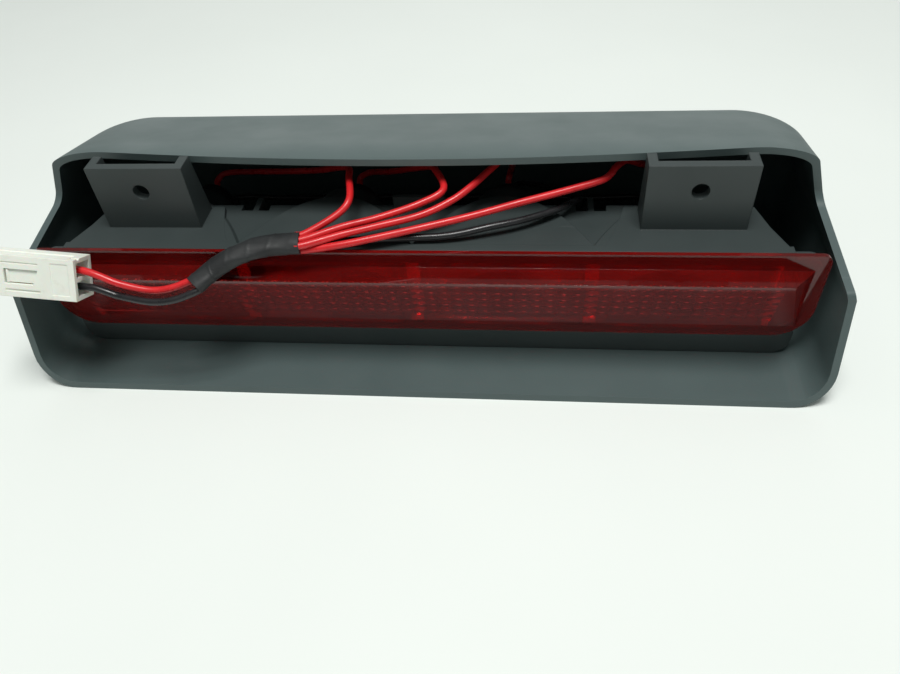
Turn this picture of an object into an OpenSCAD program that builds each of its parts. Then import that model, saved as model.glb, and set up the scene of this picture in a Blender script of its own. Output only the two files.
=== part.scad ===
// Third brake light: a hooded cover that is open to the rear window, and in it
// a lamp body with two screw towers, a red lens, four wedge bulbs in twist-lock
// holders and a taped two-wire lead that ends in a connector.
//
// The open side faces -Y, +X runs along the lamp and +Z is up. The origin is
// the centre of the base, on the surface that the cover stands on.

/* [Cover] */
// Width of the cover over its ends
cover_w = 272; // [270:1:276]
// Depth of the cover, from its lower front rim to its back
cover_d = 106; // [104:1:110]
// Height of the cover at its top rim
cover_h = 68.5; // [68:0.5:70]
// Wall thickness of the cover
wall = 2.4; // [2:0.1:2.6]
// How far the middle of the top rim bows forward
rim_bow = 7; // [3:0.5:8]

/* [Lens] */
// Width of the lens over its flange
lens_w = 260; // [256:1:262]
// Height of the lens over its flange
lens_h = 33.9; // [33.4:0.1:34]
// Wall thickness of the lens
lens_wall = 2; // [1.6:0.1:2.4]

/* [Lamp body] */
// Height of the lamp body's flat deck above the base
deck_z = 46.7; // [46.5:0.1:47]
// Distance between neighbouring bulbs
bulb_pitch = 58.5; // [58:0.1:59]
// Focal length of each reflector bowl
focal = 7; // [6.9:0.05:7.1]

/* [Screw towers] */
// Distance between the two screw holes
hole_spacing = 180; // [178:1:182]
// Diameter of the screw holes
hole_d = 5.5; // [5:0.1:6.5]
// Width of each tower
tower_w = 33; // [32:1:34]
// Height of each tower above the deck
tower_h = 23.5; // [22:0.5:24]

/* [Wiring] */
// Outer diameter of each wire
wire_d = 2.4; // [2:0.1:2.4]

/* [Hidden] */
eps = 0.02;
far = 200;
$fn = 48;

// Cover: heights, radii and slopes of its outer skin
half_cw = cover_w / 2;
half_cd = cover_d / 2;
foot_r = 13;
lean_z = 38;
lean_deg = 18.2;
brow_r = 7;
brow_z = cover_h - brow_r;
brow_x = half_cw - (cover_h - lean_z) * tan(lean_deg) - brow_r * tan(45 - lean_deg / 2);
heel_r = 5;
draft = 0.13;
roof_deg = 16;
roof_y = -5;
shoulder_r = 12;
plan_r = 21;
peak_y = -42;
peak_z = 40.2;
notch_slope = 0.224;
bow_half = 112;
pad_r = 7;
pad_h = 4.6;

// Back face and roof meet here, before the shoulder between them is rounded
ridge_z = (cover_h - tan(roof_deg) * (half_cd + heel_r * draft - roof_y)) / (1 - tan(roof_deg) * draft);
ridge_y = half_cd - draft * (ridge_z - heel_r);
shoulder_t = shoulder_r * tan((90 - roof_deg - atan(draft)) / 2);
shoulder_y = ridge_y - shoulder_t * cos(roof_deg) - shoulder_r * sin(roof_deg);
shoulder_z = ridge_z + shoulder_t * sin(roof_deg) - shoulder_r * cos(roof_deg);

// Lamp body
lamp_zc = deck_z - 18.95;
cell_h = 18.9;
cell_t = 2.9;
vertex_y = 8.5;
bulb_x = [for (i = [0:3]) (i - 1.5) * bulb_pitch];
frame_front = -28.7;
frame_back = -26.2;
skirt_front = -30.5;
skirt_z = 2.6;
skirt_half = 126.5;
deck_front = -30.7;
deck_back = -27.6;
deck_t = 2;
boss_r = 13.5;
boss_back = 12.5;
barrel_bore_r = 9.3;
lug_bore_r = 11.6;
lug_wall_y = 5;
tower_y = -19.4;
tower_t = 3;
tower_top_y = -12;
tower_foot_y = -8;
hole_z = deck_z + 14.5;
body_screw_y = -4;
body_screw_x = bulb_pitch;

// Lens
flange_front = -32.3;
flange_back = -30.8;
block_front = -39.5;
block_end = 126;
block_nose = 118.7;
ledge_z = [40.9, 40.2];
face_foot = [-34, 18.9];
sill_z = 18;

// Bulb holders
barrel_r = 9.24;
holder_front = 3;
holder_back = 24;
slot_w = 9.6;

// Connector: the middle of its wire end, and how it leans on the rim of the cover
plug_at = [-105.1, -45.2, 45.9];
plug_lean = 63;
plug_turn = -4.2;
plug_l = 33;
plug_w = 13.6;
plug_t = 10;
plug_wall = 1.4;
plug_pitch = 6;
window_x = [-24, -12.4];
latch_x = -13.1;

// Sleeve over the bundle
sleeve_w = 9;
sleeve_t = 6;

cover_colour = [0.22, 0.28, 0.29];
body_colour = [0.27, 0.32, 0.34];
lens_colour = [0.45, 0.03, 0.03, 0.8];
red_wire_colour = [0.85, 0.1, 0.1];
black_colour = [0.06, 0.06, 0.06];
brass_colour = [0.8, 0.68, 0.4];

// Routes of the wires, from the sleeve over the deck to the bulb holders
sleeve_route = [
    [-35, -32.2, 50.6], [-46, -33.5, 50.2], [-56, -36.5, 48.6],
    [-64, -39.3, 44.6], [-69, -44.5, 42.4]
];
red_route_1 = [
    [-37, -29.9, 51.7], [-33.5, -29, 52], [-24, -23, 55], [-20.5, -18, 57.5], [-22.5, -7, 58.5],
    [-24, 0, 57.5], [-29, 8, 53], [-40, 17, 46], [-55, 24, 41], [-72, 30, 37], [-84, 33, 34.5],
    [-87.75, 31.5, 32.5], [-87.75, 28, 31], [-87.75, 24.3, 30.9]
];
red_route_2 = [
    [-37, -32.4, 51.7], [-33.5, -31.8, 51.8], [-22, -27.2, 53.2], [-10, -23, 54], [3, -18, 56],
    [10, -13, 58], [6, -2, 58.5], [3, 5, 55], [-5, 13, 49], [-15, 22, 42], [-24, 30, 36.5],
    [-29, 32, 33], [-29.25, 28.5, 31], [-29.25, 24.3, 30.9]
];
red_route_3 = [
    [-37, -34.9, 51.4], [-33.5, -34.5, 51.4], [-22, -30, 52.2], [-10, -26.2, 53],
    [3, -22.2, 54.2], [12.5, -17.3, 56.2], [19, -11.5, 58], [26, -1, 59], [30, 6, 58],
    [31, 15, 50], [31, 25, 42], [30, 31.5, 35.5], [29.25, 31, 32], [29.25, 28, 31],
    [29.25, 24.3, 30.9]
];
red_route_4 = [
    [-37, -33.8, 49.1], [-33.5, -33.8, 48.9], [-22, -32.4, 50], [-10, -29.6, 51],
    [3.5, -26, 52.1], [19, -21, 53], [35, -16, 54.8], [51, -11, 56.4], [62, -6.8, 57.6],
    [66, -1.5, 58.8], [70, 5, 57], [76, 13, 50.5], [83, 23, 42.5], [87.5, 30.5, 36],
    [87.75, 31, 32.5], [87.75, 28, 31], [87.75, 24.3, 30.9]
];
ground_route = [
    [-37, -31.1, 49.2], [-33.5, -31.1, 49], [-20, -28.9, 49], [-4, -27, 48.6],
    [12, -26, 49], [25, -23, 50.2], [35, -19.5, 50.2], [44, -14.5, 49.8], [51, -8.5, 48.8],
    [54.5, -1, 45.5], [55, 8, 39.5], [49, 20, 34.5], [39, 30, 31], [32.5, 34, 28],
    [29.5, 32.5, 24], [29.25, 28, 22.9], [29.25, 24.3, 22.9]
];
lead_red_route = [
    [-67, -42, 44], [-70.5, -42.8, 43.2], [-77, -45, 41.8], [-84, -46, 41.7], [-93, -46, 44.2],
    [-99, -45.4, 46.9], [-102, -44.9, 47.9], [-104.9, -44.4, 48.4], [-108.9, -43.8, 48.7],
    [-113.2, -43.6, 49.1]
];
lead_black_route = [
    [-66, -45.2, 42.2], [-69, -46.9, 41.5], [-75.5, -49, 40.2], [-83, -49.6, 39.9],
    [-93.5, -48, 40.7], [-97.5, -47.7, 42.2], [-101.4, -47.2, 43.4], [-105.3, -46.8, 43.6],
    [-109.3, -46.4, 43.6], [-113.6, -46.3, 43.8]
];
// One span of the black jumpers, about the middle of the two holders it joins
jumper_rise = [[26.05, 24.3, 24.7], [25.5, 29, 24.4], [20, 33, 23], [10, 34.5, 21.5], [0, 35, 21]];
jumper_span = concat(jumper_rise, [for (i = [3:-1:0]) [-jumper_rise[i].x, jumper_rise[i].y, jumper_rise[i].z]]);

// ---- Helpers ----

function unit(v) = v / norm(v);

// Direction of a route at point i
function heading(pts, i) = unit(pts[min(i + 1, len(pts) - 1)] - pts[max(i - 1, 0)]);

// Side vectors of every ring, carried along the route without twist
function carried(pts, side, i = 0) =
    i == len(pts) ? [] :
    let (d = heading(pts, i), s = unit(side - (side * d) * d))
    concat([[s, cross(d, s)]], carried(pts, s, i + 1));

// A tube of oval section along a route
module tube(pts, width, height, side, sides = 8) {
    frames = carried(pts, side);
    rings = len(pts);
    verts = [
        for (i = [0:rings - 1], k = [0:sides - 1])
            pts[i]
            + frames[i][0] * cos(360 * k / sides) * width / 2
            + frames[i][1] * sin(360 * k / sides) * height / 2
    ];
    skin = [
        for (i = [0:rings - 2], k = [0:sides - 1])
            let (n = (k + 1) % sides)
            [i * sides + k, (i + 1) * sides + k, (i + 1) * sides + n, i * sides + n]
    ];
    ends = [
        [for (k = [0:sides - 1]) k],
        [for (k = [sides - 1:-1:0]) (rings - 1) * sides + k]
    ];
    polyhedron(verts, concat(skin, ends));
}

module wire(pts) {
    tube(pts, wire_d, wire_d, [0, 0, 1]);
}

// A prism along X whose outline is given as [y, z] points
module prism_x(outline, half) {
    translate([-half, 0, 0])
        rotate([90, 0, 90])
            linear_extrude(2 * half)
                polygon(outline);
}

// A plate facing Y between two depths, with rounded lower corners
module plate_y(half_w, z0, z1, y0, y1, foot, crown) {
    translate([0, y1, 0])
        rotate([90, 0, 0])
            linear_extrude(y1 - y0)
                polygon(concat(
                    [for (a = [-90:15:0]) [half_w - foot + foot * cos(a), z0 + foot + foot * sin(a)]],
                    [for (a = [0:30:90]) [half_w - crown + crown * cos(a), z1 - crown + crown * sin(a)]],
                    [for (a = [90:30:180]) [-half_w + crown + crown * cos(a), z1 - crown + crown * sin(a)]],
                    [for (a = [180:15:270]) [-half_w + foot + foot * cos(a), z0 + foot + foot * sin(a)]]
                ));
}

// A box from its lowest to its highest corner
module block(low, high) {
    translate(low)
        cube(high - low);
}

// ---- Cover ----

// Half width and back of the skin at height z, moved inwards by t
function skin_x(z, t) =
    z < foot_r ? half_cw - foot_r + sqrt(max(0, pow(foot_r - t, 2) - pow(foot_r - z, 2))) :
    z < lean_z ? half_cw - t :
    z < brow_z + (brow_r - t) * sin(lean_deg)
        ? half_cw - (z - lean_z) * tan(lean_deg) - t / cos(lean_deg) :
    brow_x + sqrt(max(0, pow(brow_r - t, 2) - pow(z - brow_z, 2)));

function skin_back(z, t) =
    z < heel_r ? half_cd - heel_r + sqrt(max(0, pow(heel_r - t, 2) - pow(heel_r - z, 2))) :
    z < shoulder_z + (shoulder_r - t) * sin(atan(draft)) ? half_cd - draft * (z - heel_r) - t :
    z < shoulder_z + (shoulder_r - t) * cos(roof_deg)
        ? shoulder_y + sqrt(max(0, pow(shoulder_r - t, 2) - pow(z - shoulder_z, 2))) :
    let (drop = cover_h - t / cos(roof_deg) - z)
    drop < rim_bow * tan(roof_deg)
        ? roof_y - rim_bow + 2 * sqrt(max(0, drop) * rim_bow / tan(roof_deg)) :
    roof_y + drop / tan(roof_deg);

function skin_slice(z, t, front) =
    let (x = skin_x(z, t), y = skin_back(z, t), r = plan_r - t)
    concat(
        [[-x, front], [x, front]],
        [for (a = [0:15:90]) [x - r + r * cos(a), y - r + r * sin(a)]],
        [for (a = [90:15:180]) [-x + r + r * cos(a), y - r + r * sin(a)]]
    );

// The solid inside the cover's skin moved inwards by t, open towards the front
module hood(t, front) {
    low = t == 0 ? 0 : t;
    high = cover_h - t;
    mids = [1.2, 3, 5.5, 9, 13, 38, 48, 51, 53.5, 55.5, 58, 60.5, 63, 65];
    tops = [for (drop = [2, 1.5, 1, 0.6, 0.3, 0.1, eps]) high - drop];
    hull()
        for (z = concat([low], [for (m = mids) if (m > low && m < high - 2) m], tops))
            translate([0, 0, z])
                linear_extrude(eps)
                    polygon(skin_slice(z, t, front));
}

// Front edge of the roof, bowed towards the window in the middle
function rim_y(x) = roof_y - rim_bow * (1 - pow(min(1, abs(x) / bow_half), 2));

// What the opening takes away: the raked front, the notch and the bowed rim
module cover_opening() {
    notch_y = roof_y - rim_bow;
    prism_x([
        [-far, -1], [-half_cd - 1 * (half_cd + peak_y) / peak_z, -1], [peak_y, peak_z],
        [notch_y, peak_z + (notch_y - peak_y) * notch_slope], [notch_y, far], [-far, far]
    ], far);
    intersection() {
        prism_x([
            [notch_y - eps, peak_z + (notch_y - peak_y) * notch_slope],
            [1, peak_z + (1 - peak_y) * notch_slope], [1, far], [notch_y - eps, far]
        ], far);
        linear_extrude(far)
            polygon(concat(
                [[-far, roof_y], [-far, -far], [far, -far], [far, roof_y]],
                [for (x = [bow_half:-14:-bow_half]) [x, rim_y(x)]]
            ));
    }
}

module cover_shell() {
    color(cover_colour)
        difference() {
            union() {
                difference() {
                    hood(0, -half_cd);
                    hood(wall, -half_cd - 5);
                }
                for (s = [-1, 1])
                    translate([s * body_screw_x, body_screw_y, wall - 0.5])
                        cylinder(r = pad_r, h = pad_h - wall + 0.5);
            }
            cover_opening();
            for (s = [-1, 1])
                translate([s * body_screw_x, body_screw_y, 0]) {
                    translate([0, 0, -1])
                        cylinder(r = 4.2, h = 3.4);
                    cylinder(r = 2.1, h = 10);
                }
        }
}

// ---- Lamp body ----

// Radius of a bowl at depth y
function bowl_r(y) = sqrt(4 * focal * max(0, vertex_y - y));

// A bowl grown outwards by t, between two depths
module bowl(t, y0, y1) {
    steps = 10;
    rotate([90, 0, 0])
        rotate_extrude($fn = 64)
            polygon(concat(
                [[0, -y1]],
                [for (i = [steps:-1:0]) let (y = y0 + (y1 - y0) * i / steps) [bowl_r(y) + t, -y]],
                [[0, -y0]]
            ));
}

// A bowl cut to its cell, flat above and below
module cell(t, side, height, y0, y1) {
    intersection() {
        bowl(t, y0, y1);
        block([-side, y0 - 1, -height], [side, y1 + 1, height]);
    }
}

module at_bulb(i) {
    translate([bulb_x[i], 0, lamp_zc])
        children();
}

// One screw tower: a front wall between two side walls, open behind and above
module tower() {
    half = tower_w / 2;
    top_z = deck_z + tower_h;
    block([-half, tower_y, deck_z - 1], [half, tower_y + tower_t, top_z]);
    for (s = [-1, 1])
        translate([s * (half - tower_t / 2), 0, 0])
            prism_x([
                [tower_y, deck_z - 1], [tower_foot_y, deck_z - 1],
                [tower_foot_y, deck_z], [tower_top_y, top_z], [tower_y, top_z]
            ], tower_t / 2);
}

// Deck plate around a tower's foot
module tower_deck() {
    translate([0, 0, deck_z - deck_t])
        linear_extrude(deck_t)
            polygon([[-29, deck_front], [29, deck_front], [24, -18], [21, -7], [-21, -7], [-24, -18]]);
}

// Webs that join the cells, with the rib and the screw boss between them
module webs() {
    for (s = [-1, 0, 1])
        translate([s * bulb_pitch, 0, 0])
            difference() {
                block([-17, frame_front, deck_z - 3.7], [17, -3.8, deck_z - 1.7]);
                if (s != 0)
                    block([-5, -7, deck_z - 5], [5, 0, deck_z]);
            }
    block([-9, -5.4, deck_z - 3], [9, -3.6, deck_z + 2.6]);
    for (s = [-1, 1])
        translate([s * body_screw_x, 0, 0]) {
            block([-1, frame_front, 10], [1, 1, deck_z - 2]);
            translate([0, body_screw_y, pad_h + 0.2])
                cylinder(r = 4.5, h = 15);
        }
}

module lamp_solid() {
    flange_z = deck_z - lens_h;
    plate_y(128, flange_z + 0.4, deck_z - 3, frame_front, frame_back, 11, 3);
    plate_y(skirt_half, skirt_z, flange_z + 0.6, skirt_front, frame_front + 0.5, 6, 1);
    block([-119, frame_front, skirt_z + 6], [119, frame_back, flange_z + 2]);
    block([-119, deck_front, deck_z - deck_t], [119, deck_back, deck_z]);
    for (i = [0:3])
        at_bulb(i) {
            cell(cell_t, bulb_pitch / 2 + (i == 0 || i == 3 ? 2 : 0.5), cell_h, frame_front, lug_wall_y);
            rotate([-90, 0, 0])
                cylinder(r = boss_r, h = boss_back);
        }
    for (s = [-1, 1])
        translate([s * hole_spacing / 2, 0, 0]) {
            tower_deck();
            tower();
        }
    webs();
}

module lamp_body() {
    color(body_colour)
        difference() {
            lamp_solid();
            for (i = [0:3])
                at_bulb(i) {
                    cell(cell_t - 1.5, bulb_pitch / 2 - 1, cell_h - 2, frame_front - 0.3, 3);
                    rotate([-90, 0, 0])
                        translate([0, 0, -2])
                            cylinder(r = lug_bore_r, h = lug_wall_y + 2);
                    rotate([-90, 0, 0])
                        cylinder(r = barrel_bore_r, h = 20);
                    rotate([0, 45, 0])
                        block([-11.4, 0, -2.4], [11.4, 20, 2.4]);
                }
            for (s = [-1, 1]) {
                translate([s * hole_spacing / 2, 0, hole_z])
                    rotate([90, 0, 0])
                        cylinder(d = hole_d, h = 30);
                translate([s * body_screw_x, body_screw_y, 0])
                    cylinder(r = 1.6, h = 17);
            }
        }
}

module reflector() {
    plate_front = frame_front - 0.8;
    color([0.82, 0.83, 0.85])
        difference() {
            union() {
                block([-117, plate_front, lamp_zc - 11], [117, frame_front - 0.1, lamp_zc + 14]);
                for (i = [0:3])
                    at_bulb(i)
                        cell(cell_t - 1.8, bulb_pitch / 2 - 1.2, cell_h - 2.2, frame_front - 0.1 - eps, 2.4);
            }
            for (i = [0:3])
                at_bulb(i) {
                    cell(0, bulb_pitch / 2 - 2.2, cell_h - 3.2, plate_front - 1, vertex_y);
                    rotate([-90, 0, 0])
                        cylinder(r = lug_bore_r, h = 20);
                }
        }
}

module lens_seal() {
    half = lens_w / 2 - 2.4;
    z0 = deck_z - lens_h + 1;
    z1 = deck_z - deck_t - 0.2;
    color(black_colour)
        difference() {
            plate_y(half, z0, z1, flange_back + 0.1, frame_front - 0.2, 11, 3);
            plate_y(half - 2.4, z0 + 2.4, z1 - 2.4, -40, 0, 9, 1.5);
            block([-122, -40, 0], [122, 0, z0 + 2.4]);
        }
}

// ---- Lens ----

// The raised bar of the lens, moved inwards by t
module lens_bar(t, back) {
    intersection() {
        prism_x([
            [back, ledge_z[0] - t], [flange_front, ledge_z[0] - t],
            [block_front + t, ledge_z[1] - t], [face_foot.x + t, face_foot.y + t],
            [flange_front + t, sill_z + t], [back, sill_z + t]
        ], block_end);
        linear_extrude(far)
            polygon([
                [-block_end + t, back], [-block_end + t, flange_front], [-block_nose + t, block_front],
                [block_nose - t, block_front], [block_end - t, flange_front], [block_end - t, back]
            ]);
    }
}

module lens() {
    color(lens_colour)
        difference() {
            union() {
                plate_y(lens_w / 2, deck_z - lens_h, deck_z, flange_front, flange_back, 12, 3);
                lens_bar(0, flange_back);
            }
            lens_bar(lens_wall, flange_back + 1);
        }
}

// Self-tapping screws up through the cover's floor into the lamp body
module body_screws() {
    color([0.55, 0.55, 0.57])
        for (s = [-1, 1])
            translate([s * body_screw_x, body_screw_y, 0]) {
                translate([0, 0, 0.5])
                    difference() {
                        cylinder(r = 3.7, h = 1.9);
                        translate([0, 0, -1])
                            cylinder(r = 1.5, h = 1.8, $fn = 6);
                    }
                translate([0, 0, 2])
                    cylinder(r = 1.75, h = 13);
            }
}

// ---- Bulbs and holders ----

// Glass envelope with its flat wedge base, as a hollow capsule
module bulb(i) {
    color([0.95, 0.95, 0.92, 0.5])
        at_bulb(i) {
            rotate([-90, 0, 0])
                rotate_extrude()
                    polygon(concat(
                        [[0, 4], [0, 2.6], [4.4, 2.6], [4.4, -4.5]],
                        [for (a = [0:15:90]) [4.4 * cos(a), -4.5 - 4.4 * sin(a)]],
                        [for (a = [90:-15:0]) [5.1 * cos(a), -4.5 - 5.1 * sin(a)]],
                        [[5.1, 4]]
                    ));
            block([-4.6, 4 - eps, -1.25], [4.6, 12.4, 1.25]);
        }
}

// Coiled filament on its two supports
module filament(i) {
    lit_y = vertex_y - focal;
    color([0.6, 0.6, 0.62])
        at_bulb(i) {
            translate([-2.5, lit_y, 0])
                rotate([0, 90, 0])
                    cylinder(r = 0.5, h = 5, $fn = 16);
            for (s = [-1, 1])
                translate([s * 2, lit_y, 0])
                    rotate([-90, 0, 0])
                        cylinder(r = 0.25, h = 2.6 - lit_y, $fn = 16);
        }
}

module bulb_holder(i) {
    color([0.16, 0.17, 0.18])
        at_bulb(i)
            difference() {
                union() {
                    rotate([-90, 0, 0]) {
                        translate([0, 0, holder_front])
                            cylinder(r = barrel_r, h = boss_back + 1 - holder_front);
                        translate([0, 0, boss_back + 0.3])
                            cylinder(r = 12.5, h = 2);
                        translate([0, 0, boss_back + 2])
                            cylinder(r = 7.5, h = holder_back - boss_back - 2);
                    }
                    block([-10.9, holder_front, -2], [10.9, lug_wall_y - 0.3, 2]);
                    block([-11, boss_back + 2, -1.8], [11, 21.5, 1.8]);
                }
                rotate([-90, 0, 0])
                    translate([0, 0, holder_front - 1])
                        cylinder(r = 5.5, h = 2.4);
                block([-slot_w / 2, 4, -2.3], [slot_w / 2, 12.6, 2.3]);
                for (s = [-1, 1])
                    block([-1.3, 12, s * 1.65 - 0.45], [1.3, 20.2, s * 1.65 + 0.45]);
                for (p = [[0, 3.2], [3.2, -3], [-3.2, -3], [0, -4.8]])
                    translate([p.x, 21, p.y])
                        rotate([-90, 0, 0])
                            cylinder(r = 1.3, h = 5);
            }
}

// Two spring blades beside the wedge base, with tails to the wires
module contacts(i) {
    color(brass_colour)
        at_bulb(i)
            for (s = [-1, 1]) {
                block([-2, 4.6, s * 1.65 - 0.25], [2, 12.4, s * 1.65 + 0.25]);
                block([-1, 12, s * 1.65 - 0.25], [1, 20, s * 1.65 + 0.25]);
            }
}

// ---- Wiring ----

module red_wire(route) {
    color(red_wire_colour)
        wire(route);
}

module black_wire(route) {
    color(black_colour)
        wire(route);
}

// Jumper n runs between holders n and n + 1
module ground_jumper(n) {
    translate([(n - 2) * bulb_pitch, 0, 0])
        black_wire(jumper_span);
}

module wire_sleeve() {
    color(black_colour)
        tube(sleeve_route, sleeve_w, sleeve_t, [0, 1, 0], 12);
}

// ---- Connector ----

// The connector is drawn flat, from its mouth at -X to its wire end at 0
module at_plug() {
    translate(plug_at)
        rotate([plug_lean, 0, 0])
            rotate([0, 0, plug_turn])
                children();
}

module connector_housing() {
    half_w = plug_w / 2;
    half_t = plug_t / 2;
    bay_w = half_w - plug_wall - 0.7;
    color([0.93, 0.93, 0.86])
        at_plug()
            difference() {
                block([-plug_l, -half_w, -half_t], [0, half_w, half_t]);
                block([-plug_l - 1, -half_w + plug_wall, -half_t + plug_wall],
                      [-16, half_w - plug_wall, half_t - plug_wall]);
                block([window_x[0], -2.4, 0], [window_x[1], 2.4, half_t + 1]);
                for (s = [-1, 1]) {
                    translate([-4, s * (bay_w / 2 + 0.7), 0])
                        block([0, -bay_w / 2, -half_t + plug_wall], [5, bay_w / 2, half_t - plug_wall]);
                    translate([0, s * plug_pitch / 2, 0])
                        block([-plug_l, -1.7, -1.4], [-3, 1.7, 1.4]);
                }
            }
}

// Spring tongue in the window of the connector; it bends about its rounded root
module connector_latch() {
    top_z = plug_t / 2 - 0.8;
    color([0.9, 0.9, 0.82])
        at_plug() {
            block([window_x[0] + 0.4, -2.1, top_z - 1], [latch_x, 2.1, top_z]);
            block([window_x[0] + 0.4, -2.1, top_z - 0.2], [window_x[0] + 1.6, 2.1, top_z + 0.6]);
            translate([latch_x, 2.1, top_z - 0.5])
                rotate([90, 0, 0])
                    cylinder(d = 1, h = 4.2);
        }
}

module terminal(s) {
    color(brass_colour)
        at_plug()
            translate([0, s * plug_pitch / 2, 0])
                difference() {
                    block([-plug_l + 3, -1.5, -1.2], [-8.4, 1.5, 1.2]);
                    block([-plug_l + 2, -1.1, -0.5], [-plug_l + 12, 1.1, 0.5]);
                }
}

cover_shell();
lamp_body();
reflector();
lens();
lens_seal();
body_screws();
bulb(0);  // bulb_1
bulb(1);  // bulb_2
bulb(2);  // bulb_3
bulb(3);  // bulb_4
filament(0);  // filament_1
filament(1);  // filament_2
filament(2);  // filament_3
filament(3);  // filament_4
bulb_holder(0);  // bulb_holder_1
bulb_holder(1);  // bulb_holder_2
bulb_holder(2);  // bulb_holder_3
bulb_holder(3);  // bulb_holder_4
contacts(0);  // contacts_1
contacts(1);  // contacts_2
contacts(2);  // contacts_3
contacts(3);  // contacts_4
red_wire(red_route_1);  // red_wire_1
red_wire(red_route_2);  // red_wire_2
red_wire(red_route_3);  // red_wire_3
red_wire(red_route_4);  // red_wire_4
black_wire(ground_route);  // ground_wire
ground_jumper(1);  // ground_jumper_1
ground_jumper(2);  // ground_jumper_2
ground_jumper(3);  // ground_jumper_3
wire_sleeve();
red_wire(lead_red_route);  // lead_red
black_wire(lead_black_route);  // lead_black
connector_housing();
connector_latch();
terminal(1);  // terminal_red
terminal(-1);  // terminal_black
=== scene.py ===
"""Looks of a third brake light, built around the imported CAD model.

Lengths in this file are millimetres in the CAD model's frame; MM turns them into metres.
"""

import math

import bmesh
import bpy
from mathutils import Matrix, Vector


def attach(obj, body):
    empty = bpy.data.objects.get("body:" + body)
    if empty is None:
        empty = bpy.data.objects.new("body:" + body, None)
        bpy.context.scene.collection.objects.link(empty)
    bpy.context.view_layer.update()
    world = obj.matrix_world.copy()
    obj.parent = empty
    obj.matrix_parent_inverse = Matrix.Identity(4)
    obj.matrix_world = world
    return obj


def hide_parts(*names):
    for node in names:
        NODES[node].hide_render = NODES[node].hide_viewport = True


MM = 0.001

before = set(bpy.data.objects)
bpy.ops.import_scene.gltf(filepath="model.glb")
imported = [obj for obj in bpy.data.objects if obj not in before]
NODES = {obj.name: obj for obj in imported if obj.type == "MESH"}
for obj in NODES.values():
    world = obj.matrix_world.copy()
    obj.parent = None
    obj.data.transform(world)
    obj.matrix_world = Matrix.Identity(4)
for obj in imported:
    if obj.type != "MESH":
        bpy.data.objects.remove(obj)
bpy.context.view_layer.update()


# ---------------------------------------------------------------- helpers


def add_object(name, data, body="lamp", node=None):
    """Links a new object, lets it ride on a body and stand for a CAD node."""
    obj = bpy.data.objects.new(name, data)
    bpy.context.scene.collection.objects.link(obj)
    if body:
        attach(obj, body)
    if node:
        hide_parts(*([node] if isinstance(node, str) else node))
    return obj


def mesh_data(name, verts, faces):
    """A mesh with merged points and outward normals, from vertices in millimetres."""
    me = bpy.data.meshes.new(name)
    me.from_pydata([Vector(v) * MM for v in verts], [], faces)
    bm = bmesh.new()
    bm.from_mesh(me)
    bmesh.ops.remove_doubles(bm, verts=bm.verts, dist=1e-7)
    bmesh.ops.recalc_face_normals(bm, faces=bm.faces)
    bm.to_mesh(me)
    bm.free()
    return me


def scratch(name, verts, faces):
    """A mesh object that only serves as a tool and is removed after use."""
    obj = bpy.data.objects.new(name, mesh_data(name, verts, faces))
    bpy.context.scene.collection.objects.link(obj)
    return obj


def loft(rings):
    """Vertices and faces of a closed skin over rings that have equally many points."""
    n = len(rings[0])
    verts = [p for ring in rings for p in ring]
    faces = []
    for i in range(len(rings) - 1):
        for k in range(n):
            m = (k + 1) % n
            faces.append((i * n + k, i * n + m, (i + 1) * n + m, (i + 1) * n + k))
    faces.append(tuple(range(n))[::-1])
    faces.append(tuple(range((len(rings) - 1) * n, len(rings) * n)))
    return verts, faces


def box(low, high):
    """A box from its lowest to its highest corner."""
    x0, y0, z0 = low
    x1, y1, z1 = high
    ring = lambda z: [(x0, y0, z), (x1, y0, z), (x1, y1, z), (x0, y1, z)]
    return loft([ring(z0), ring(z1)])


def apply_modifiers(obj):
    """Turns an object's modifiers into plain mesh."""
    deps = bpy.context.evaluated_depsgraph_get()
    me = bpy.data.meshes.new_from_object(obj.evaluated_get(deps))
    old = obj.data
    obj.modifiers.clear()
    obj.data = me
    bpy.data.meshes.remove(old)


def carve(obj, tools, operation="DIFFERENCE"):
    """Boolean of obj with each tool in turn; the tools are removed afterwards."""
    for tool in tools:
        mod = obj.modifiers.new("cut", "BOOLEAN")
        mod.operation = operation
        mod.solver = "EXACT"
        mod.object = tool
    bpy.context.view_layer.update()
    apply_modifiers(obj)
    for tool in tools:
        bpy.data.objects.remove(tool)


def soften(obj, width, segments=3, angle=35):
    """Rounds the sharp edges and shades the rest smoothly."""
    mod = obj.modifiers.new("soft edges", "BEVEL")
    mod.width = width * MM
    mod.segments = segments
    mod.limit_method = "ANGLE"
    mod.angle_limit = math.radians(angle)
    mod.harden_normals = False
    mod.use_clamp_overlap = True
    for p in obj.data.polygons:
        p.use_smooth = True
    bpy.context.view_layer.update()
    apply_modifiers(obj)
    shade(obj, 40)


def shade(obj, angle=40):
    """Smooth shading that keeps edges sharper than the angle, and keeps large faces flat."""
    bm = bmesh.new()
    bm.from_mesh(obj.data)
    for e in bm.edges:
        e.smooth = len(e.link_faces) == 2 and e.calc_face_angle(0) < math.radians(angle)
    for f in bm.faces:
        f.smooth = True
    bm.to_mesh(obj.data)
    bm.free()
    mod = obj.modifiers.new("flat faces", "WEIGHTED_NORMAL")
    mod.keep_sharp = True
    mod.weight = 80
    bpy.context.view_layer.update()
    apply_modifiers(obj)


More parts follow.
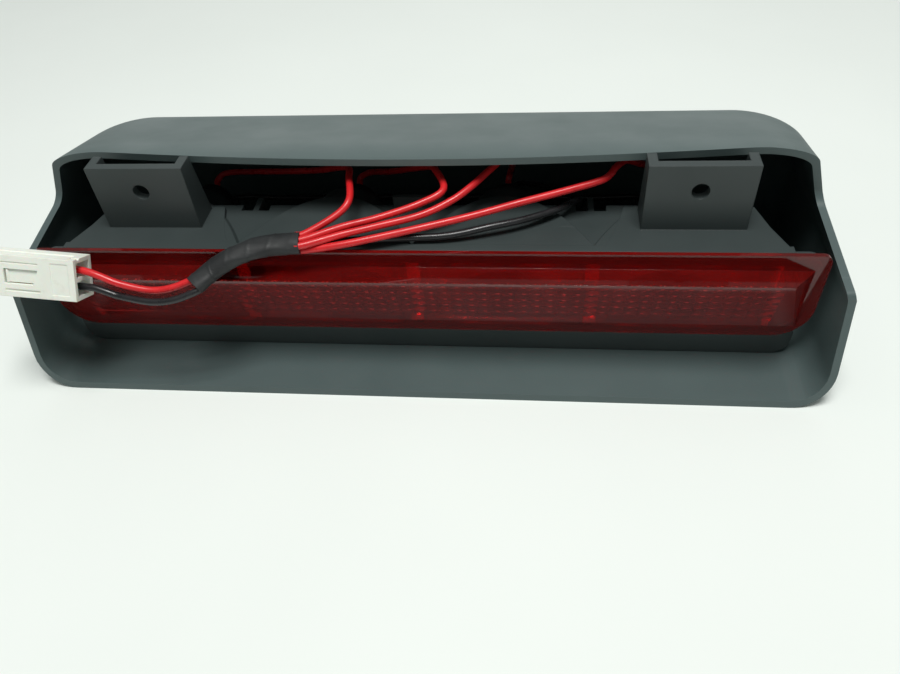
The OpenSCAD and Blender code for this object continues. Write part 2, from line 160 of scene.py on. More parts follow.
def fillet(a, corner, b, radius, steps=8):
    """Points of an arc that rounds a corner of a 2-D outline."""
    a, corner, b = Vector(a), Vector(corner), Vector(b)
    u, v = (a - corner).normalized(), (b - corner).normalized()
    half = u.angle(v) / 2
    reach = radius / math.tan(half)
    middle = corner + (u + v).normalized() * (radius / math.sin(half))
    start, end = corner + u * reach - middle, corner + v * reach - middle
    turn = math.pi - 2 * half
    if start.x * end.y - start.y * end.x < 0:
        turn = -turn
    out = []
    for i in range(steps + 1):
        t = turn * i / steps
        out.append((
            middle.x + start.x * math.cos(t) - start.y * math.sin(t),
            middle.y + start.x * math.sin(t) + start.y * math.cos(t),
        ))
    return out


def smooth_path(points, per_span=6):
    """A Catmull-Rom curve through the points."""
    pts = [Vector(p) for p in points]
    pts = [2 * pts[0] - pts[1]] + pts + [2 * pts[-1] - pts[-2]]
    out = []
    for i in range(1, len(pts) - 2):
        p0, p1, p2, p3 = pts[i - 1:i + 3]
        for k in range(per_span):
            t = k / per_span
            out.append(0.5 * (
                2 * p1 + (p2 - p0) * t + (2 * p0 - 5 * p1 + 4 * p2 - p3) * t * t
                + (3 * p1 - p0 - 3 * p2 + p3) * t ** 3
            ))
    out.append(pts[-2])
    return out


def path_length(points):
    return sum((b - a).length for a, b in zip(points, points[1:]))


# ---------------------------------------------------------------- camera

CAM_AT = (40.1, -220.2, 199.1)
CAM_AZ, CAM_EL, CAM_ROLL = -8.883, 44.988, 5.174


def make_camera():
    az, el, roll = (math.radians(a) for a in (CAM_AZ, CAM_EL, CAM_ROLL))
    forward = Vector((0, math.cos(el), -math.sin(el)))
    up = Vector((0, math.sin(el), math.cos(el)))
    right = Vector((1, 0, 0))
    image_right = math.cos(roll) * right - math.sin(roll) * up
    image_up = math.sin(roll) * right + math.cos(roll) * up
    turn = Matrix.Rotation(-az, 3, "Z")
    axes = [turn @ image_right, turn @ image_up, turn @ -forward]
    data = bpy.data.cameras.new("camera")
    data.sensor_width = 36
    data.lens = 30.44
    data.clip_start = 0.01
    cam = bpy.data.objects.new("camera", data)
    cam.matrix_world = Matrix.Translation(Vector(CAM_AT) * MM) @ Matrix(axes).transposed().to_4x4()
    bpy.context.scene.collection.objects.link(cam)
    bpy.context.scene.camera = cam


make_camera()


# ---------------------------------------------------------------- materials


class Nodes:
    """A short way to write a node material."""

    def __init__(self, name):
        self.mat = bpy.data.materials.new(name)
        self.mat.use_nodes = True
        self.tree = self.mat.node_tree
        self.tree.nodes.clear()
        self.out = self.new("ShaderNodeOutputMaterial")
        self.coord = self.new("ShaderNodeTexCoord").outputs["Object"]

    def new(self, kind, **inputs):
        node = self.tree.nodes.new(kind)
        for key, value in inputs.items():
            self.feed(node.inputs[key.replace("_", " ")], value)
        return node

    def feed(self, socket, value):
        """Links a socket to another, or sets it to a number or colour."""
        if isinstance(value, bpy.types.NodeSocket):
            self.tree.links.new(value, socket)
        elif socket.type == "RGBA":
            socket.default_value = (*value, 1)
        else:
            socket.default_value = value

    def noise(self, scale, detail=3.0, rough=0.55, stretch=None, distortion=0.0):
        vec = self.coord
        if stretch:
            mapping = self.new("ShaderNodeMapping", Vector=vec)
            mapping.inputs["Scale"].default_value = stretch
            vec = mapping.outputs[0]
        node = self.new("ShaderNodeTexNoise", Vector=vec, Scale=scale, Detail=detail, Roughness=rough,
                        Distortion=distortion)
        return node.outputs["Fac"]

    def ramp(self, fac, stops):
        node = self.new("ShaderNodeValToRGB", Fac=fac)
        ramp = node.color_ramp
        while len(ramp.elements) < len(stops):
            ramp.elements.new(0.5)
        for element, (at, colour) in zip(ramp.elements, stops):
            element.position = at
            element.color = (*colour, 1) if hasattr(colour, "__len__") else (colour, colour, colour, 1)
        return node.outputs["Color"]

    def mix(self, fac, a, b):
        node = self.tree.nodes.new("ShaderNodeMix")
        node.data_type = "RGBA"
        for socket, value in ((node.inputs[0], fac), (node.inputs[6], a), (node.inputs[7], b)):
            self.feed(socket, value)
        return node.outputs[2]

    def maths(self, operation, a, b):
        node = self.tree.nodes.new("ShaderNodeMath")
        node.operation = operation
        for socket, value in zip(node.inputs, (a, b)):
            self.feed(socket, value)
        return node.outputs[0]

    def span(self, value, low, high, to_low, to_high):
        """Maps a value from one range to another."""
        node = self.new("ShaderNodeMapRange", Value=value)
        for i, v in enumerate((low, high, to_low, to_high), 1):
            node.inputs[i].default_value = v
        return node.outputs[0]

    def bump(self, height, strength, distance, normal=None):
        node = self.new("ShaderNodeBump", Height=height, Strength=strength, Distance=distance)
        if normal is not None:
            self.tree.links.new(normal, node.inputs["Normal"])
        return node.outputs[0]

    def rounded(self, radius):
        node = self.new("ShaderNodeBevel", Radius=radius)
        node.samples = 4
        return node.outputs[0]

    def principled(self, **inputs):
        node = self.new("ShaderNodeBsdfPrincipled")
        for key, value in inputs.items():
            name = {"ior": "IOR"}.get(key, key.replace("_", " ").title())
            self.feed(node.inputs[name], value)
        self.tree.links.new(node.outputs[0], self.out.inputs["Surface"])
        return node


def slate_plastic(name, dark, light, rough=(0.34, 0.48), grain=0.06, edge=None):
    """Moulded slate plastic: fine spark-eroded grain, faint flow marks, dust and small scuffs."""
    n = Nodes(name)
    clouds = n.noise(28, 4)
    flow = n.noise(16, 3, stretch=(0.35, 1.6, 1.6), distortion=0.4)
    tone = n.ramp(n.maths("ADD", n.maths("MULTIPLY", clouds, 0.6), n.maths("MULTIPLY", flow, 0.4)),
                  [(0.32, dark), (0.68, light)])
    dust = n.ramp(n.noise(2100, 2, 0.7), [(0.74, 0.0), (0.82, 1.0)])
    patch = n.ramp(n.noise(60, 3), [(0.45, 0.0), (0.7, 1.0)])
    specks = n.maths("MULTIPLY", n.maths("MULTIPLY", dust, patch), 0.5)
    colour = n.mix(specks, tone, (0.22, 0.25, 0.25))
    scratch_a = n.ramp(n.noise(420, 2, 0.6, stretch=(0.06, 1.0, 1.0)), [(0.69, 0.0), (0.73, 1.0)])
    scratch_b = n.ramp(n.noise(34, 2, 0.5), [(0.52, 0.0), (0.62, 1.0)])
    scuffs = n.maths("MULTIPLY", scratch_a, scratch_b)
    colour = n.mix(n.maths("MULTIPLY", scuffs, 0.25), colour, (0.16, 0.19, 0.19))
    roughness = n.maths("ADD", n.span(n.noise(45, 3), 0.3, 0.7, *rough), n.maths("MULTIPLY", scuffs, 0.12))
    normal = n.rounded(edge) if edge else None
    height = n.maths("ADD", n.noise(2600, 2, 0.6), n.maths("MULTIPLY", n.noise(700, 2), 0.5))
    n.principled(base_color=colour, roughness=roughness, ior=1.5,
                 normal=n.bump(height, grain, 0.0002, normal))
    return n.mat


def insulation(name, dark, light, rough=0.3):
    """Extruded wire insulation with a soft sheen and handling marks."""
    n = Nodes(name)
    colour = n.ramp(n.noise(120, 4), [(0.3, dark), (0.7, light)])
    roughness = n.span(n.noise(300, 3), 0.3, 0.7, rough - 0.06, rough + 0.1)
    n.principled(base_color=colour, roughness=roughness, ior=1.48,
                 normal=n.bump(n.noise(900, 3), 0.12, 0.0002))
    return n.mat


def metal(name, colour, tint, rough):
    """Metal whose tone and gloss vary a little from place to place."""
    n = Nodes(name)
    n.principled(
        base_color=n.ramp(n.noise(90, 4), [(0.3, colour), (0.7, tint)]),
        metallic=1.0,
        roughness=n.span(n.noise(200, 3), 0.3, 0.7, rough * 0.7, rough * 1.4),
        normal=n.bump(n.noise(600, 3), 0.05, 0.0001),
    )
    return n.mat


def clear_glass(name):
    """Bulb glass with a trace of haze and ripple."""
    n = Nodes(name)
    haze = n.noise(160, 3)
    n.principled(
        base_color=n.ramp(haze, [(0.3, (0.93, 0.95, 0.94)), (0.7, (0.98, 0.98, 0.97))]),
        roughness=n.span(haze, 0.3, 0.7, 0.0, 0.04), ior=1.5, transmission_weight=1.0,
        normal=n.bump(n.noise(120, 2), 0.03, 0.0003),
    )
    return n.mat


def red_lens_material():
    """Deep red acrylic: clear, glossy, with faint moulding waves and fine dust."""
    n = Nodes("lens_red")
    waves = n.noise(30, 2, 0.4, stretch=(0.5, 1, 1))
    colour = n.ramp(n.noise(40, 3), [(0.3, (0.42, 0.016, 0.014)), (0.7, (0.52, 0.024, 0.020))])
    dust = n.ramp(n.noise(1700, 2, 0.7), [(0.72, 0.0), (0.8, 1.0)])
    roughness = n.maths("ADD", n.span(n.noise(80, 3), 0.3, 0.7, 0.03, 0.1), n.maths("MULTIPLY", dust, 0.25))
    n.principled(base_color=colour, roughness=roughness, ior=1.49, transmission_weight=0.85,
                 normal=n.bump(waves, 0.05, 0.0006))
    return n.mat


def milky_plastic():
    """Off-white nylon of the connector, slightly waxy."""
    n = Nodes("connector_nylon")
    colour = n.ramp(n.noise(70, 4), [(0.3, (0.80, 0.82, 0.74)), (0.7, (0.88, 0.90, 0.83))])
    grime = n.ramp(n.noise(240, 4, 0.6), [(0.55, 0.0), (0.75, 1.0)])
    colour = n.mix(n.maths("MULTIPLY", grime, 0.18), colour, (0.42, 0.4, 0.3))
    n.principled(base_color=colour, roughness=n.span(n.noise(150, 3), 0.3, 0.7, 0.38, 0.52), ior=1.5,
                 subsurface_weight=0.15, subsurface_scale=0.001,
                 normal=n.bump(n.noise(1500, 2), 0.06, 0.0002, n.rounded(0.0003)))
    return n.mat


def tape_material():
    """Black vinyl tape, wrinkled along its turns."""
    n = Nodes("loom_tape")
    wrinkle = n.noise(260, 4, 0.6, stretch=(0.5, 1.2, 1.4), distortion=0.6)
    n.principled(
        base_color=n.ramp(n.noise(90, 3), [(0.3, (0.010, 0.011, 0.012)), (0.7, (0.022, 0.024, 0.025))]),
        roughness=n.span(n.noise(140, 3), 0.3, 0.7, 0.52, 0.74), ior=1.5,
        normal=n.bump(wrinkle, 0.35, 0.0006),
    )
    return n.mat


def foam_material():
    """Open-pored black foam rubber."""
    n = Nodes("seal_foam")
    n.principled(
        base_color=n.ramp(n.noise(500, 3), [(0.3, (0.012, 0.012, 0.012)), (0.7, (0.03, 0.03, 0.03))]),
        roughness=0.9, normal=n.bump(n.noise(1800, 3), 0.6, 0.0005),
    )
    return n.mat


COVER = slate_plastic("cover_plastic", (0.066, 0.094, 0.094), (0.078, 0.110, 0.109), rough=(0.42, 0.52))
# The lamp body is the same slate plastic as the cover. Its darker colour here is painted shade for where it
# sits under the hood.
BODY = slate_plastic("lamp_body_plastic_painted_shade", (0.030, 0.040, 0.040), (0.038, 0.050, 0.050),
                     rough=(0.42, 0.54), grain=0.05, edge=0.0005)
HOLDER = slate_plastic("holder_plastic", (0.012, 0.012, 0.013), (0.02, 0.02, 0.022), edge=0.0004)
RED = insulation("wire_red", (0.56, 0.012, 0.016), (0.70, 0.022, 0.026))
BLACK = insulation("wire_black", (0.008, 0.008, 0.009), (0.018, 0.018, 0.02), 0.28)
LENS = red_lens_material()
NYLON = milky_plastic()
TAPE = tape_material()
FOAM = foam_material()
MIRROR = metal("reflector_metal", (0.80, 0.82, 0.84), (0.88, 0.89, 0.9), 0.16)
STEEL = metal("zinc_steel", (0.5, 0.51, 0.52), (0.62, 0.62, 0.6), 0.3)
BRASS = metal("contact_brass", (0.62, 0.45, 0.19), (0.72, 0.56, 0.28), 0.28)
TUNGSTEN = metal("filament_metal", (0.35, 0.35, 0.36), (0.5, 0.5, 0.5), 0.35)
GLASS = clear_glass("bulb_glass_clear")


def dress(node, material):
    """Gives a CAD node that stays in view its material."""
    obj = NODES[node]
    obj.data.materials.clear()
    obj.data.materials.append(material)


for index in range(1, 5):
    dress(f"bulb_{index}", GLASS)
    dress(f"filament_{index}", TUNGSTEN)
    dress(f"bulb_holder_{index}", HOLDER)
    dress(f"contacts_{index}", BRASS)
dress("lamp_body", BODY)
dress("reflector", MIRROR)
dress("lens_seal", FOAM)
dress("body_screws", STEEL)
dress("terminal_red", BRASS)
dress("terminal_black", BRASS)


# ---------------------------------------------------------------- cords

WIRE_D = 2.4
PITCH = 58.5
SLEEVE_ROUTE = [
    (-35, -32.2, 50.6), (-46, -33.5, 50.2), (-56, -36.5, 48.6),
    (-64, -39.3, 44.6), (-69, -44.5, 42.4),
]
RED_ROUTES = [
    [
        (-37, -29.9, 51.7), (-33.5, -29, 52), (-24, -23, 55), (-20.5, -18, 57.5), (-22.5, -7, 58.5),
        (-24, 0, 57.5), (-29, 8, 53), (-40, 17, 46), (-55, 24, 41), (-72, 30, 37), (-84, 33, 34.5),
        (-87.75, 31.5, 32.5), (-87.75, 28, 31), (-87.75, 24.3, 30.9),
    ],
    [
        (-37, -32.4, 51.7), (-33.5, -31.8, 51.8), (-22, -27.2, 53.2), (-10, -23, 54), (3, -18, 56),
        (10, -13, 58), (6, -2, 58.5), (3, 5, 55), (-5, 13, 49), (-15, 22, 42), (-24, 30, 36.5),
        (-29, 32, 33), (-29.25, 28.5, 31), (-29.25, 24.3, 30.9),
    ],
    [
        (-37, -34.9, 51.4), (-33.5, -34.5, 51.4), (-22, -30, 52.2), (-10, -26.2, 53),
        (3, -22.2, 54.2), (12.5, -17.3, 56.2), (19, -11.5, 58), (26, -1, 59), (30, 6, 58),
        (31, 15, 50), (31, 25, 42), (30, 31.5, 35.5), (29.25, 31, 32), (29.25, 28, 31),
        (29.25, 24.3, 30.9),
    ],
    [
        (-37, -33.8, 49.1), (-33.5, -33.8, 48.9), (-22, -32.4, 50), (-10, -29.6, 51),
        (3.5, -26, 52.1), (19, -21, 53), (35, -16, 54.8), (51, -11, 56.4), (62, -6.8, 57.6),
        (66, -1.5, 58.8), (70, 5, 57), (76, 13, 50.5), (83, 23, 42.5), (87.5, 30.5, 36),
        (87.75, 31, 32.5), (87.75, 28, 31), (87.75, 24.3, 30.9),
    ],
]
GROUND_ROUTE = [
    (-37, -31.1, 49.2), (-33.5, -31.1, 49), (-20, -28.9, 49), (-4, -27, 48.6),
    (12, -26, 49), (25, -23, 50.2), (35, -19.5, 50.2), (44, -14.5, 49.8), (51, -8.5, 48.8),
    (54.5, -1, 45.5), (55, 8, 39.5), (49, 20, 34.5), (39, 30, 31), (32.5, 34, 28),
    (29.5, 32.5, 24), (29.25, 28, 22.9), (29.25, 24.3, 22.9),
]
LEAD_RED_ROUTE = [
    (-67, -42, 44), (-70.5, -42.8, 43.2), (-77, -45, 41.8), (-84, -46, 41.7), (-93, -46, 44.2),
    (-99, -45.4, 46.9), (-102, -44.9, 47.9), (-104.9, -44.4, 48.4), (-108.9, -43.8, 48.7),
    (-113.2, -43.6, 49.1),
]
LEAD_BLACK_ROUTE = [
    (-66, -45.2, 42.2), (-69, -46.9, 41.5), (-75.5, -49, 40.2), (-83, -49.6, 39.9),
    (-93.5, -48, 40.7), (-97.5, -47.7, 42.2), (-101.4, -47.2, 43.4), (-105.3, -46.8, 43.6),
    (-109.3, -46.4, 43.6), (-113.6, -46.3, 43.8),
]
JUMPER_RISE = [(26.05, 24.3, 24.7), (25.5, 29, 24.4), (20, 33, 23), (10, 34.5, 21.5), (0, 35, 21)]


def wire(name, route, material):
    """A wire as one open spline along its route."""
    pts = smooth_path(route)
    data = bpy.data.curves.new(name, "CURVE")
    data.dimensions = "3D"
    data.bevel_depth = WIRE_D / 2 * MM
    data.bevel_resolution = 5
    data.use_fill_caps = True
    spline = data.splines.new("POLY")
    spline.points.add(len(pts) - 1)
    for point, p in zip(spline.points, pts):
        point.co = (*(p * MM), 1)
    data.materials.append(material)
    return add_object(name + "_wire", data, node=name), path_length(pts) * MM


def free_wire(name, route, material):
    obj, length = wire(name, route, material)


for index, route in enumerate(RED_ROUTES, 1):
    free_wire(f"red_wire_{index}", route[::-1], RED)
free_wire("ground_wire", GROUND_ROUTE[::-1], BLACK)
for index in range(1, 4):
    span = JUMPER_RISE + [(-x, y, z) for x, y, z in JUMPER_RISE[-2::-1]]
    route = [(x + (index - 2) * PITCH, y, z) for x, y, z in span]
    free_wire(f"ground_jumper_{index}", route, BLACK)


def carried_frames(pts, side):
    """A side and a normal vector at each point, carried along without twist."""
    out = []
    for i, p in enumerate(pts):
        d = (pts[min(i + 1, len(pts) - 1)] - pts[max(i - 1, 0)]).normalized()
        side = (side - d * side.dot(d)).normalized()
        out.append((p, side.copy(), d.cross(side)))
    return out


def make_sleeve():
    """Tape wound round the bundle: each turn overlaps the last, with lumps and a pinch along it."""
    pts = smooth_path(SLEEVE_ROUTE, 24)
    around, pitch = 40, 7.0  # points round a ring, and tape advance per turn
    half_w, half_h = 4.42, 2.92
    rings, run = [], 0.0
    frames = carried_frames(pts, Vector((0, 1, 0)))
    for i, (p, a, b) in enumerate(frames):
        if i:
            run += (p - pts[i - 1]).length
        ring = []
        for k in range(around):
            t = 2 * math.pi * k / around
            turn = (run / pitch + k / around) % 1.0
            lap = 0.14 * max(0.0, 1 - turn * 5) - 0.05 * turn
            lumps = 0.16 * math.sin(3 * t + run * 0.31) + 0.12 * math.sin(5 * t - run * 0.47)
            pinch = -0.25 * math.exp(-((run - 20) / 3.5) ** 2)
            w = half_w + lap + lumps * 0.6 + pinch
            h = half_h + lap + lumps * 0.5 + pinch * 0.6
            ring.append(p + a * math.cos(t) * w + b * math.sin(t) * h)
        rings.append(ring)
    verts, faces = loft(rings)
    data = mesh_data("taped_sleeve", verts, faces)
    sleeve = add_object("taped_sleeve", data, node="wire_sleeve")
    sleeve.data.materials.append(TAPE)
    shade(sleeve, 50)
    return sleeve


sleeve = make_sleeve()


# ---------------------------------------------------------------- connector

PLUG_AT = (-105.1, -45.2, 45.9)
PLUG_LEAN, PLUG_TURN = 63, -4.2
PLUG_L, PLUG_W, PLUG_T, PLUG_WALL = 33, 13.6, 10, 1.4
PLUG_PITCH = 6
WINDOW_END = -24
TONGUE_END, TONGUE_ROOT, TONGUE_R, TONGUE_HALF = -23.6, -13.1, 0.5, 2.1


def at_plug(obj):
    """Moves a mesh drawn flat to where the connector lies, leaning on the rim."""
    lean = Matrix.Rotation(math.radians(PLUG_LEAN), 4, "X") @ Matrix.Rotation(math.radians(PLUG_TURN), 4, "Z")
    obj.data.transform(Matrix.Translation(Vector(PLUG_AT) * MM) @ lean)


def prism(outline, low, high):
    """A prism along the plug's thickness over an outline of (x, y) points."""
    return loft([[(x, y, z) for x, y in outline] for z in (low, high)])


def make_connector():
    hw, ht, wall = PLUG_W / 2, PLUG_T / 2, PLUG_WALL
    window = [(WINDOW_END, -2.4), (-14.4, -2.4), (-12.4, 2.4), (WINDOW_END, 2.4)]
    shell = scratch("connector_shell", *box((-PLUG_L, -hw, -ht), (0, hw, ht)))
    cuts = [
        scratch("socket", *box((-PLUG_L - 1, -hw + wall, -ht + wall), (-16, hw - wall, ht - wall))),
        scratch("window", *prism(window, 0, ht + 1)),
    ]
    for s in (-1, 1):
        bay = sorted((s * 0.7, s * (hw - wall)))
        cuts.append(scratch("bay", *box((-4, bay[0], -ht + wall), (1, bay[1], ht - wall))))
        way = s * PLUG_PITCH / 2
        cuts.append(scratch("way", *box((-PLUG_L, way - 1.7, -1.4), (-3, way + 1.7, 1.4))))
    # mouldings in the skin: grooves beside the window, a sunk panel, side rails and a notch
    cuts.append(scratch("groove_low", *box((WINDOW_END, -4.9, ht - 0.45), (-12.2, -4.2, ht + 1))))
    cuts.append(scratch("groove_high", *box((-26, 4.3, ht - 0.3), (-12.2, 4.7, ht + 1))))
    cuts.append(scratch("panel", *box((-8, -hw + 1.6, ht - 0.22), (-2.2, hw - 1.6, ht + 1))))
    for s in (-1, 1):
        cuts.append(scratch("rail", *box((-30, s * hw - 0.3, -1.2), (-3, s * hw + 0.3, 1.2))))
    cuts.append(scratch("notch", *box((-2.6, hw - 0.5, ht - 3.4), (1, hw + 1, ht - 2.2))))
    carve(shell, cuts)
    housing = add_object("connector_body", shell.data.copy(), node="connector_housing")
    bpy.data.objects.remove(shell)
    soften(housing, 0.3, 3)
    at_plug(housing)
    housing.data.materials.append(NYLON)

    top = ht - 0.8
    side = [
        (TONGUE_END, top - 1), (TONGUE_END, top + 0.2), (TONGUE_END + 0.4, top + 0.6),
        (TONGUE_END + 0.7, top + 0.6), (TONGUE_END + 1.2, top), (TONGUE_ROOT, top),
    ]
    for degrees in range(75, -91, -15):
        a = math.radians(degrees)
        side.append((TONGUE_ROOT + TONGUE_R * math.cos(a), top - TONGUE_R + TONGUE_R * math.sin(a)))
    tongue = scratch("tongue", *loft([[(x, y, z) for x, z in side] for y in (-TONGUE_HALF, TONGUE_HALF)]))
    latch = add_object("latch_tongue", tongue.data.copy(), body="latch",
                       node="connector_latch")
    bpy.data.objects.remove(tongue)
    soften(latch, 0.12, 2)
    at_plug(latch)
    latch.data.materials.append(NYLON)
    return housing, latch


housing, latch = make_connector()
free_wire("lead_red", LEAD_RED_ROUTE, RED)
free_wire("lead_black", LEAD_BLACK_ROUTE, BLACK)


# ---------------------------------------------------------------- cover

# the CAD model's back is a hair short of 53, between two of its levels
HALF_W, HALF_D, TOP_Z, WALL = 136.0, 52.93, 68.5, 2.4
FOOT_R, LEAN_Z, LEAN, BROW_R, HEEL_R = 13.0, 38.0, math.radians(18.2), 7.0, 5.0
DRAFT, ROOF, ROOF_Y, SHOULDER_R, PLAN_R = 0.13, math.radians(16), -5.0, 12.0, 21.0
PEAK, SLOPE, BOW, BOW_HALF = (-42.0, 40.2), 0.224, 7.0, 112.0
PEAK_R, NOTCH_R, RIM_R = 2, 5, 0.55
BROW_Z = TOP_Z - BROW_R
BROW_X = HALF_W - (TOP_Z - LEAN_Z) * math.tan(LEAN) - BROW_R * math.tan(math.pi / 4 - LEAN / 2)
RIDGE_Z = (TOP_Z - math.tan(ROOF) * (HALF_D + HEEL_R * DRAFT - ROOF_Y)) / (1 - math.tan(ROOF) * DRAFT)
RIDGE_Y = HALF_D - DRAFT * (RIDGE_Z - HEEL_R)
SHOULDER_T = SHOULDER_R * math.tan((math.pi / 2 - ROOF - math.atan(DRAFT)) / 2)
SHOULDER_Y = RIDGE_Y - SHOULDER_T * math.cos(ROOF) - SHOULDER_R * math.sin(ROOF)
SHOULDER_Z = RIDGE_Z + SHOULDER_T * math.sin(ROOF) - SHOULDER_R * math.cos(ROOF)


def circle_at(radius, offset):
    """Half chord of a circle at an offset from its middle."""
    return math.sqrt(max(0.0, radius * radius - offset * offset))


def skin_x(z, t):
    """Half width of the skin at height z, moved inwards by t."""
    if z < FOOT_R:
        return HALF_W - FOOT_R + circle_at(FOOT_R - t, FOOT_R - z)
    if z < LEAN_Z:
        return HALF_W - t
    if z < BROW_Z + (BROW_R - t) * math.sin(LEAN):
        return HALF_W - (z - LEAN_Z) * math.tan(LEAN) - t / math.cos(LEAN)
    return BROW_X + circle_at(BROW_R - t, z - BROW_Z)


def skin_back(z, t):
    """Depth of the back, shoulder or roof at height z, moved inwards by t."""
    if z < HEEL_R:
        return HALF_D - HEEL_R + circle_at(HEEL_R - t, HEEL_R - z)
    if z < SHOULDER_Z + (SHOULDER_R - t) * math.sin(math.atan(DRAFT)):
        return HALF_D - DRAFT * (z - HEEL_R) - t
    if z < SHOULDER_Z + (SHOULDER_R - t) * math.cos(ROOF):
        return SHOULDER_Y + circle_at(SHOULDER_R - t, z - SHOULDER_Z)
    drop = TOP_Z - t / math.cos(ROOF) - z
    if drop < BOW * math.tan(ROOF):
        return ROOF_Y - BOW + 2 * math.sqrt(max(0.0, drop) * BOW / math.tan(ROOF))
    return ROOF_Y + drop / math.tan(ROOF)


def hood_rings(t, front):
    """Plan outlines of the cover's skin, moved inwards by t, from the floor to the roof."""
    low, high = max(t, 0.0), TOP_Z - t - 0.02
    steps = [0, 0.15, 0.4, 0.8, 1.3, 2, 2.8, 3.8, 5, 6.5, 8.5, 10.5, 13, 20, 30, 36, 38, 40, 43, 46, 47.5, 49]
    steps += [50 + 0.5 * i for i in range(30)]
    crown = [TOP_Z - t - d for d in (3, 2.7, 2.4, 2.1, 1.8, 1.5, 1.2, 0.95, 0.7, 0.5, 0.33, 0.2, 0.1, 0.05)]
    levels = [low] + [z for z in steps if low + 0.05 < z < crown[0] - 0.1] + crown + [high]
    rings = []
    for z in levels:
        x, y, r = skin_x(z, t), skin_back(z, t), PLAN_R - t
        ring = [(-x, front, z), (x, front, z)]
        for i in range(17):
            a = math.pi / 2 * i / 16
            ring.append((x - r + r * math.cos(a), y - r + r * math.sin(a), z))
        for i in range(17):
            a = math.pi / 2 * (1 + i / 16)
            ring.append((-x + r + r * math.cos(a), y - r + r * math.sin(a), z))
        rings.append(ring)
    return rings


def rim_y(x):
    """Front edge of the roof, bowed forward in the middle."""
    return ROOF_Y - BOW * (1 - min(1.0, abs(x) / BOW_HALF) ** 2)


def opening_rings():
    """What the opening takes away, as a profile of depth and height that varies along X."""
    rake = (PEAK[0] + HALF_D) / PEAK[1]
    rings = []
    stations = [-150, -140] + [-136 + 4 * i for i in range(69)] + [140, 150]
    for x in stations:
        y = rim_y(x)
        notch = (y, PEAK[1] + (y - PEAK[0]) * SLOPE)
        foot = (-HALF_D - 10 * rake, -10)
        profile = [(-90, -10), foot]
        profile += fillet(foot, PEAK, notch, PEAK_R, 6)
        profile += fillet(PEAK, notch, (y, 90), NOTCH_R, 10)
        profile += [(y, 90), (-90, 90)]
        rings.append([(x, py, pz) for py, pz in profile])
    return rings


def make_cover():
    shell = scratch("cover_solid", *loft(hood_rings(0, -60)))
    inner = scratch("cover_inside", *loft(hood_rings(WALL, -70)))
    carve(shell, [inner])
    carve(shell, [scratch("cover_mouth", *loft(opening_rings()))])
    cover = add_object("cover_skin", shell.data.copy(), node="cover_shell")
    bpy.data.objects.remove(shell)
    soften(cover, RIM_R, 3)
    cover.data.materials.append(COVER)
    return cover


make_cover()


# ---------------------------------------------------------------- lens

LENS_W, LENS_Z0, LENS_Z1 = 260.0, 12.8, 46.7
FLANGE_Y = (-32.3, -30.8)
BLOCK_FRONT, BLOCK_END, BLOCK_NOSE = -39.5, 126.0, 118.7
LEDGE, SILL = (40.9, 40.2), 18.0
FACE_FOOT = (-34.0, 18.9)
LENS_T, FLANGE_FOOT_R, FLANGE_CROWN_R, LENS_EDGE_R = 2.0, 12, 3, 0.6
PILLOW = (4.3, 3.6, 0.9)  # width, height and swell of each


def flange_outline(hw, z0, z1, foot, crown):
    """Outline of the flange with rounded lower (foot) and upper (crown) corners."""
    out = []
    for cx, cz, r, a0 in (
        (hw - foot, z0 + foot, foot, -90), (hw - crown, z1 - crown, crown, 0),
        (-hw + crown, z1 - crown, crown, 90), (-hw + foot, z0 + foot, foot, 180),
    ):
        for i in range(13):
            a = math.radians(a0 + 90 * i / 12)
            out.append((cx + r * math.cos(a), cz + r * math.sin(a)))
    return out


def bar_half(y, t):
    """Half length of the bar at depth y, shorter towards its front."""
    run = min(1.0, max(0.0, (FLANGE_Y[0] - y) / (FLANGE_Y[0] - BLOCK_FRONT)))
    return BLOCK_END - (BLOCK_END - BLOCK_NOSE) * run - t


def bar_profile(t, back):
    """Cross-section of the raised bar moved inwards by t: undercut face, ledge on top."""
    return [
        (back, SILL + t), (FLANGE_Y[0] + t, SILL + t), (FACE_FOOT[0] + t, FACE_FOOT[1] + t),
        (BLOCK_FRONT + t, LEDGE[1] - t), (FLANGE_Y[0], LEDGE[0] - t), (back, LEDGE[0] - t),
    ]


def bar_solid(t, back):
    """The bar as a solid whose ends taper towards its front."""
    profile = bar_profile(t, back)
    return loft([[(s * bar_half(y, t), y, z) for y, z in profile] for s in (-1, 1)])


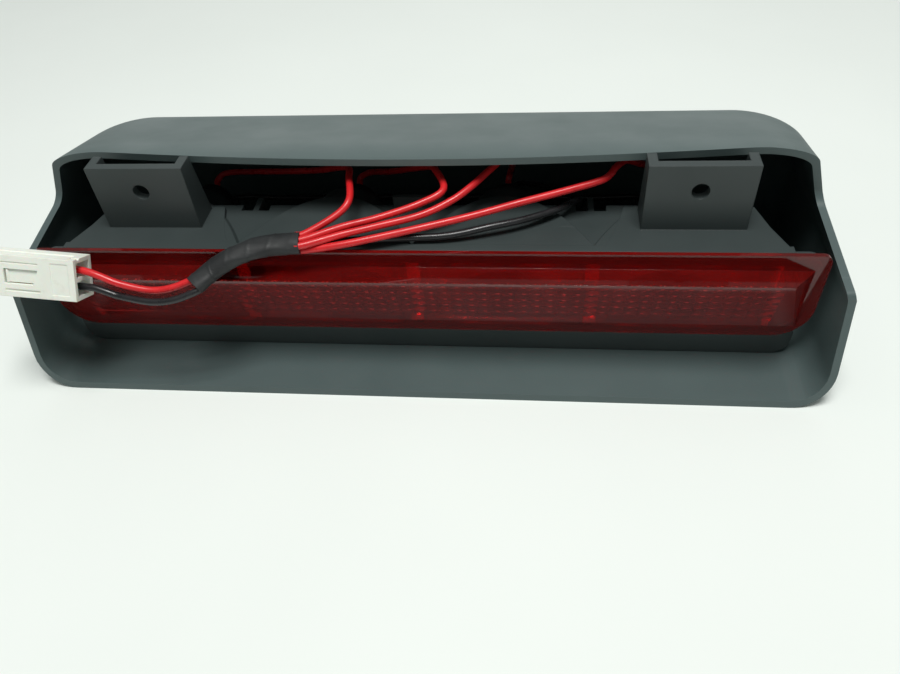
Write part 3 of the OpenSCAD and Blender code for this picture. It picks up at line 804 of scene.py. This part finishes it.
def pillow_tool():
    """The inside of the bar, whose front wall is a field of small convex pillows."""
    t = LENS_T
    back = FLANGE_Y[1] + 2
    foot = (FACE_FOOT[0] + t, FACE_FOOT[1] + t)
    head = (BLOCK_FRONT + t, LEDGE[1] - t)
    half = bar_half(BLOCK_FRONT, t)
    nx, nz, sub = round(2 * half / PILLOW[0]), round((head[1] - foot[1]) / PILLOW[1]), 4
    cols, rows = nx * sub + 1, nz * sub + 1
    verts, faces = [], []
    for j in range(rows):
        v = j / (rows - 1)
        y0, z0 = foot[0] + (head[0] - foot[0]) * v, foot[1] + (head[1] - foot[1]) * v
        for i in range(cols):
            swell = abs(math.sin(math.pi * i / sub)) * abs(math.sin(math.pi * j / sub))
            verts.append((-half + 2 * half * i / (cols - 1), y0 + PILLOW[2] * math.sqrt(swell), z0))
    for j in range(rows - 1):
        for i in range(cols - 1):
            a = j * cols + i
            faces.append((a, a + 1, a + 1 + cols, a + cols))
    base = len(verts)
    walls = [(back, SILL + t), (FLANGE_Y[0] + t, SILL + t), (back, LEDGE[0] - t), (FLANGE_Y[0], LEDGE[0] - t)]
    for s in (-1, 1):
        verts += [(s * half, y, z) for y, z in walls]
    low_l, low_r = 0, cols - 1
    top_l, top_r = (rows - 1) * cols, rows * cols - 1
    # back, front, top and crown corners of the left and right end
    bl, fl, tl, cl = base, base + 1, base + 2, base + 3
    br, fr, tr, cr = base + 4, base + 5, base + 6, base + 7
    faces.append((fl, fr, *range(low_r, low_l - 1, -1)))
    faces.append((cl, *range(top_l, top_r + 1), cr))
    faces += [(bl, br, fr, fl), (tl, cl, cr, tr), (bl, tl, tr, br)]
    faces.append((bl, fl, *[j * cols for j in range(rows)], cl, tl))
    faces.append((br, tr, cr, *[j * cols + cols - 1 for j in range(rows - 1, -1, -1)], fr))
    return verts, faces


def make_lens():
    outline = flange_outline(LENS_W / 2, LENS_Z0, LENS_Z1, FLANGE_FOOT_R, FLANGE_CROWN_R)
    plate = scratch("lens_plate", *loft([[(x, y, z) for x, z in outline] for y in FLANGE_Y[::-1]]))
    carve(plate, [scratch("lens_bar", *bar_solid(0, FLANGE_Y[1]))], "UNION")
    soften(plate, LENS_EDGE_R, 3, 20)
    carve(plate, [scratch("lens_cavity", *pillow_tool())])
    lens = add_object("lens_optic", plate.data.copy(), node="lens")
    bpy.data.objects.remove(plate)
    shade(lens, 28)
    lens.data.materials.append(LENS)
    return lens


make_lens()


# ---------------------------------------------------------------- studio


def make_floor():
    """A plain pale floor, 6 m square."""
    half = 3000
    corners = [(-half, -half, 0), (half, -half, 0), (half, half, 0), (-half, half, 0)]
    floor = add_object("floor", mesh_data("floor", corners, [(0, 1, 2, 3)]), body=None)
    n = Nodes("floor_paper")
    n.principled(base_color=n.ramp(n.noise(6, 3), [(0.3, (0.80, 0.84, 0.81)), (0.7, (0.83, 0.87, 0.84))]),
                 roughness=0.75, normal=n.bump(n.noise(300, 2), 0.03, 0.0005))
    floor.data.materials.append(n.mat)


def area_light(name, at, aim, size, power, colour):
    """A rectangular light; places and sizes are in metres."""
    data = bpy.data.lights.new(name, "AREA")
    data.shape = "RECTANGLE"
    data.size, data.size_y = size
    data.energy = power
    data.color = colour
    lamp = bpy.data.objects.new(name, data)
    lamp.location = at
    lamp.rotation_euler = (Vector(aim) - Vector(at)).to_track_quat("-Z", "Y").to_euler()
    bpy.context.scene.collection.objects.link(lamp)


def make_lights():
    """A soft overhead lamp, a weak panel behind and an even sky."""
    world = bpy.data.worlds.new("studio")
    world.use_nodes = True
    back = world.node_tree.nodes["Background"]
    back.inputs[0].default_value = (0.93, 1.0, 0.965, 1)
    back.inputs[1].default_value = 0.24
    bpy.context.scene.world = world
    bpy.context.scene.view_settings.view_transform = "Standard"
    area_light("overhead", (0.05, -0.18, 1.1), (0, -0.03, 0), (0.45, 0.40), 11.4, (1.0, 1.0, 0.98))
    area_light("back_panel", (-0.1, 1.6, 0.45), (0, 0, 0.1), (2.0, 0.8), 4.0, (0.97, 1.0, 0.98))


make_floor()
make_lights()
